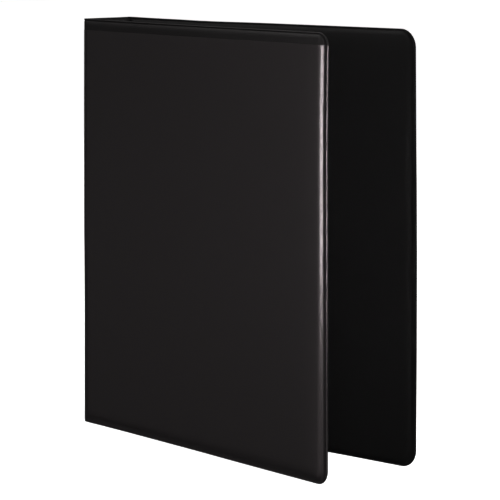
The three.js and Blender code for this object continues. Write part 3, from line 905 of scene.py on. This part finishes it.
def half_ring(name, side, row, zc):
    """Round wire from the blade up and over to the middle. The back half ends in a peg, the front half in a socket."""
    lo, hi = box_mm(f"{side}_half_ring_{row}")
    sgn = -1.0 if side == "front" else 1.0
    cx = hi[0] - WIRE - RING_R              # ring centre above the spine
    pivot = np.array(joints[side + "_leaf_tilt"]["pos_m"]) * 1000
    tilt = math.radians(7.0)
    up = np.array([math.cos(tilt), -math.sin(tilt)])         # (x, |y|) blade normal, closed
    px, py = pivot[0], abs(pivot[1])
    seg = 28
    tip = 0.09
    a0 = math.asin(tip / RING_R)
    a1 = math.radians(157.0)
    stations = []
    # end at the middle: face, then a small round, then the plain wire
    end_profile = [(0.0, 0.0), (0.0, WIRE - 0.22), (0.03, WIRE - 0.10), (0.10, WIRE - 0.03), (0.22, WIRE)]
    verts, rings_ = [], []

    def ring_at(angle, radius):
        c = np.array([cx + RING_R * math.cos(angle), RING_R * math.sin(angle)])
        rad = np.array([math.cos(angle), math.sin(angle)])
        ids = []
        for k in range(seg):
            t = 2 * math.pi * k / seg
            q = c + rad * radius * math.cos(t)
            ids.append(len(verts))
            verts.append([q[0], q[1], zc + radius * math.sin(t)])
        return ids

    faces = []
    inner_r = PEG_R if side == "back" else 0.9
    # rings from the mating tip
    seq = []
    if side == "back":
        start_angle = math.asin(-1.0 / RING_R)
        seq.append((start_angle, 0.28))
        seq.append((start_angle + 0.25 / RING_R, 0.52))
        seq.append((start_angle + 0.45 / RING_R, PEG_R))
        seq.append((a0 - 0.02 / RING_R, PEG_R))
        seq.append((a0, PEG_R + 0.06))
    else:
        seq.append((a0 + 1.3 / RING_R, 0.35))
        seq.append((a0 + 1.3 / RING_R, 0.82))
        seq.append((a0 + 1.2 / RING_R, 0.9))
        seq.append((a0 + 0.12 / RING_R, 0.9))
        seq.append((a0, 0.98))
    for along, rr in end_profile[1:]:
        seq.append((a0 + along / RING_R, rr))
    for a in np.linspace(a0 + 0.6 / RING_R, a1, 72):
        seq.append((a, WIRE))
    rings_ = [ring_at(a, r) for a, r in seq]
    for a, b in zip(rings_, rings_[1:]):
        for k in range(seg):
            l = (k + 1) % seg
            faces.append((a[k], a[l], b[l], b[k]))
    faces.append(tuple(rings_[0][::-1]))
    faces.append(tuple(rings_[-1]))
    v = np.array(verts)
    v[:, 1] *= 1.0
    o = mesh_object(name, v, faces, smooth=True, angle=40)
    # trimmed on the blade's upper face
    bm = bmesh.new()
    bm.from_mesh(o.data)
    base = np.array([px, py]) + up * 0.53
    bmesh.ops.bisect_plane(bm, geom=bm.verts[:] + bm.edges[:] + bm.faces[:], plane_co=(base[0] * MM, base[1] * MM, zc * MM),
                           plane_no=(-up[0], -up[1], 0), clear_outer=True, dist=1e-7)
    bmesh.ops.holes_fill(bm, edges=[e for e in bm.edges if e.is_boundary], sides=0)
    bmesh.ops.recalc_face_normals(bm, faces=bm.faces)
    bm.to_mesh(o.data)
    bm.free()
    # stake through the blade
    e = np.array([-math.sin(tilt), -math.cos(tilt)])         # (x, |y|) from the hinge edge inwards
    foot = np.array([px, py]) + e * 1.5
    stake = lathe("stake", [(0, -0.85), (0.85, -0.85), (1.0, -0.7), (1.0, 1.1), (0, 1.1)], (foot[0], foot[1], zc), (up[0], up[1], 0), 28)
    cut_with(o, [stake], "UNION")
    if sgn < 0:
        o.data.transform(Matrix.Scale(-1, 4, (0, 1, 0)))
        o.data.flip_normals()
    shade(o, True, 40)
    finish_piece(o, nickel_wire)
    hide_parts(f"{side}_half_ring_{row}")
    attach(o, side + "_leaf")
    return o


for side in ("front", "back"):
    for row, zc in zip(("bottom", "middle", "top"), ring_z):
        half_ring(f"{side}_ring_wire_{row}", side, row, zc)


# ---------------------------------------------------------------- floor
FLOOR_GLOW = 0.93
FLOOR_DIM = 0.015


def floor_material():
    m = bpy.data.materials.new("floor_paper")
    m.use_nodes = True
    nt = m.node_tree
    nt.nodes.clear()
    out = nt.nodes.new("ShaderNodeOutputMaterial")
    v = coords(nt)
    grain = tex_noise(nt, v, 40.0, 3.0)
    col = mix_colour(nt, remap(nt, grain.outputs[0], 0.3, 0.7, 0.0, 1.0), (0.90, 0.90, 0.90), (0.93, 0.93, 0.93))
    diffuse = nt.nodes.new("ShaderNodeBsdfDiffuse")
    nt.links.new(col, diffuse.inputs[0])
    glow = nt.nodes.new("ShaderNodeEmission")
    glow.inputs[0].default_value = (1, 1, 1, 1)
    glow.inputs[1].default_value = FLOOR_GLOW
    add = nt.nodes.new("ShaderNodeAddShader")
    nt.links.new(diffuse.outputs[0], add.inputs[0])
    nt.links.new(glow.outputs[0], add.inputs[1])
    dim = nt.nodes.new("ShaderNodeBsdfDiffuse")
    dim.inputs[0].default_value = (FLOOR_DIM, FLOOR_DIM, FLOOR_DIM, 1)
    path = nt.nodes.new("ShaderNodeLightPath")
    mix = nt.nodes.new("ShaderNodeMixShader")
    nt.links.new(path.outputs["Is Camera Ray"], mix.inputs[0])
    nt.links.new(dim.outputs[0], mix.inputs[1])
    nt.links.new(add.outputs[0], mix.inputs[2])
    nt.links.new(mix.outputs[0], out.inputs[0])
    return m


floor_mesh = bpy.data.meshes.new("floor")
R = 7.0
floor_mesh.from_pydata([(-R, -R, 0), (R, -R, 0), (R, R, 0), (-R, R, 0)], [], [(0, 1, 2, 3)])
floor = link(floor_mesh, "floor")
floor.location.z = -0.0002
floor.visible_glossy = False
floor.data.materials.append(floor_material())

# ---------------------------------------------------------------- world
CARD_AZ = -115.0
CARD_LEVEL = 0.58
ROOM_LEVEL = 0.035
REAR_AZ = 72.0
REAR_LEVEL = 0.30
OPEN_AZ = 5.0
OPEN_LEVEL = 0.22
FLOOR_SEEN = 0.07
UP_GAIN = 2.2
DOWN_GAIN = 0.2
world = bpy.data.worlds.new("studio")
scene.world = world
world.use_nodes = True
wn = world.node_tree
wn.nodes.clear()
wo = wn.nodes.new("ShaderNodeOutputWorld")
cam_bg = wn.nodes.new("ShaderNodeBackground")
cam_bg.inputs[0].default_value = (1, 1, 1, 1)
cam_bg.inputs[1].default_value = 1.0
room = wn.nodes.new("ShaderNodeBackground")
# brightness of the room against direction: a pale side towards CARD_AZ, brighter overhead, darker below
tc = wn.nodes.new("ShaderNodeTexCoord")
nrm = wn.nodes.new("ShaderNodeVectorMath")
nrm.operation = "NORMALIZE"
wn.links.new(tc.outputs["Generated"], nrm.inputs[0])
sep = wn.nodes.new("ShaderNodeSeparateXYZ")
wn.links.new(nrm.outputs[0], sep.inputs[0])
dot = wn.nodes.new("ShaderNodeVectorMath")
dot.operation = "DOT_PRODUCT"
wn.links.new(nrm.outputs[0], dot.inputs[0])
dot.inputs[1].default_value = (math.cos(math.radians(CARD_AZ)), math.sin(math.radians(CARD_AZ)), 0.0)
card = math_node(wn, "POWER", math_node(wn, "MAXIMUM", dot.outputs["Value"], 0.0), 12.0)
dot2 = wn.nodes.new("ShaderNodeVectorMath")
dot2.operation = "DOT_PRODUCT"
wn.links.new(nrm.outputs[0], dot2.inputs[0])
dot2.inputs[1].default_value = (math.cos(math.radians(REAR_AZ)), math.sin(math.radians(REAR_AZ)), 0.0)
rear = math_node(wn, "POWER", math_node(wn, "MAXIMUM", dot2.outputs["Value"], 0.0), 4.0)
side_level = math_node(wn, "ADD", math_node(wn, "MULTIPLY", card, CARD_LEVEL), ROOM_LEVEL)
side_level = math_node(wn, "ADD", side_level, math_node(wn, "MULTIPLY", rear, REAR_LEVEL))
dot3 = wn.nodes.new("ShaderNodeVectorMath")
dot3.operation = "DOT_PRODUCT"
wn.links.new(nrm.outputs[0], dot3.inputs[0])
dot3.inputs[1].default_value = (math.cos(math.radians(OPEN_AZ)), math.sin(math.radians(OPEN_AZ)), 0.0)
side_open = math_node(wn, "POWER", math_node(wn, "MAXIMUM", dot3.outputs["Value"], 0.0), 5.0)
side_level = math_node(wn, "ADD", side_level, math_node(wn, "MULTIPLY", side_open, OPEN_LEVEL))
lift_up = remap(wn, sep.outputs[2], 0.05, 0.75, 1.0, UP_GAIN, smooth=True)
drop = remap(wn, sep.outputs[2], -0.55, -0.2, DOWN_GAIN, 1.0)
level = math_node(wn, "MULTIPLY", math_node(wn, "MULTIPLY", side_level, lift_up), drop)
# what a glossy face sees of the pale floor, steeply below
level = math_node(wn, "ADD", level, remap(wn, sep.outputs[2], -0.5, -0.27, FLOOR_SEEN, 0.0, smooth=True))
room.inputs[0].default_value = (1, 1, 1, 1)
wn.links.new(level, room.inputs[1])
wp = wn.nodes.new("ShaderNodeLightPath")
wm = wn.nodes.new("ShaderNodeMixShader")
wn.links.new(wp.outputs["Is Camera Ray"], wm.inputs[0])
wn.links.new(room.outputs[0], wm.inputs[1])
wn.links.new(cam_bg.outputs[0], wm.inputs[2])
wn.links.new(wm.outputs[0], wo.inputs[0])


# ---------------------------------------------------------------- lights
def area(name, location, target, size, power, size_y=None, colour=(1, 1, 1)):
    l = bpy.data.lights.new(name, "AREA")
    l.shape = "RECTANGLE"
    l.size = size
    l.size_y = size_y or size
    l.energy = power
    l.color = colour
    o = bpy.data.objects.new(name, l)
    scene.collection.objects.link(o)
    o.location = location
    o.rotation_euler = (Vector(target) - Vector(location)).to_track_quat("-Z", "Y").to_euler()
    o.visible_camera = False
    return o


lo, hi = cad_box
rim = Vector(((WIDTH["front"] * DIR["front"][0]) * MM, (-YH + WIDTH["front"] * DIR["front"][1]) * MM, 0.0))
a = math.radians(-109.5)
key_at = rim + Vector((0.80 * math.cos(a), 0.80 * math.sin(a), 0.155))
# a gridded softbox: it lights the free edge and little beside it
key = area("edge_softbox", key_at, (rim.x, rim.y, 0.205), 0.135, 0.042, 0.29)
key.data.spread = math.radians(24.0)
key.visible_diffuse = False
top = area("overhead", (0.15, -0.12, 1.5), (0.15, -0.02, 0.1), 0.45, 7.5, 0.45)
top.visible_glossy = False
soft = area("overhead_soft", (0.2, -0.1, 1.4), (0.15, -0.02, 0.1), 1.3, 1.5, 1.3)
soft.visible_diffuse = False
shoulder = area("shoulder_strip", (-0.37, -0.43, 1.06), (0.13, -0.03, 0.29), 0.5, 4.4, 0.5)
shoulder.visible_diffuse = False
inside = area("inside_fill", (1.6, 0.36, 0.75), (0.02, 0.0, 0.15), 1.5, 11.0, 1.5)
a = math.radians(-39.0)
front = area("front_fill", (0.15 + 2.0 * math.cos(a), 2.0 * math.sin(a), 0.55), (0.15, 0.0, 0.15), 0.7, 4.0, 0.7)
front.visible_glossy = False
a = math.radians(-22.0)
# a wide strip with a grid, aimed at mid height, so that the covers darken towards the floor
right_strip = area("right_fill", (0.25 + 1.8 * math.cos(a), 1.8 * math.sin(a), 0.55), (0.22, 0.0, 0.157), 0.9, 0.183, 0.1)
right_strip.data.spread = math.radians(12.0)
back = area("back_fill", (-1.3, 1.2, 1.2), (0.1, 0.0, 0.12), 1.0, 16.0, 1.0)
back.visible_glossy = False

# ---------------------------------------------------------------- camera
# level view camera with a lens shift, so that upright edges stay upright
FOCAL_PX, CX, CY = 2594.0, 182.5, -90.7
YAW = math.radians(39.1)
XC, DC, CAM_Z = -54.8, 1896.0, 371.5
cam_data = bpy.data.cameras.new("photo_camera")
cam = bpy.data.objects.new("photo_camera", cam_data)
scene.collection.objects.link(cam)
scene.camera = cam
right = Vector((math.sin(YAW), math.cos(YAW), 0))
ahead = Vector((-math.cos(YAW), math.sin(YAW), 0))
cam.location = (-XC * right - DC * ahead) * MM + Vector((0, 0, CAM_Z * MM))
cam.rotation_mode = "XYZ"
cam.rotation_euler = (math.radians(90), 0, math.atan2(-ahead.x, ahead.y))
cam_data.sensor_width = 36.0
cam_data.lens = FOCAL_PX / 500.0 * 36.0
cam_data.clip_start, cam_data.clip_end = 0.05, 50.0
for prop, value in (("shift_x", (250.0 - CX) / 500.0), ("shift_y", CY / 500.0 - 0.5)):
    # the shift belongs to this one view: any other view sets a quaternion rotation, which takes it off
    setattr(cam_data, prop, value)
    curve = cam_data.driver_add(prop)
    var = curve.driver.variables.new()
    var.name = "m"
    var.type = "SINGLE_PROP"
    var.targets[0].id = cam
    var.targets[0].data_path = "rotation_mode"
    curve.driver.type = "SUM"
    for extra in list(curve.modifiers):
        curve.modifiers.remove(extra)
    for mode, shift in ((0.0, 0.0), (1.0, value)):
        key_point = curve.keyframe_points.insert(mode, shift)
        key_point.interpolation = "LINEAR"

scene.view_settings.view_transform = "Standard"
scene.view_settings.look = "None"
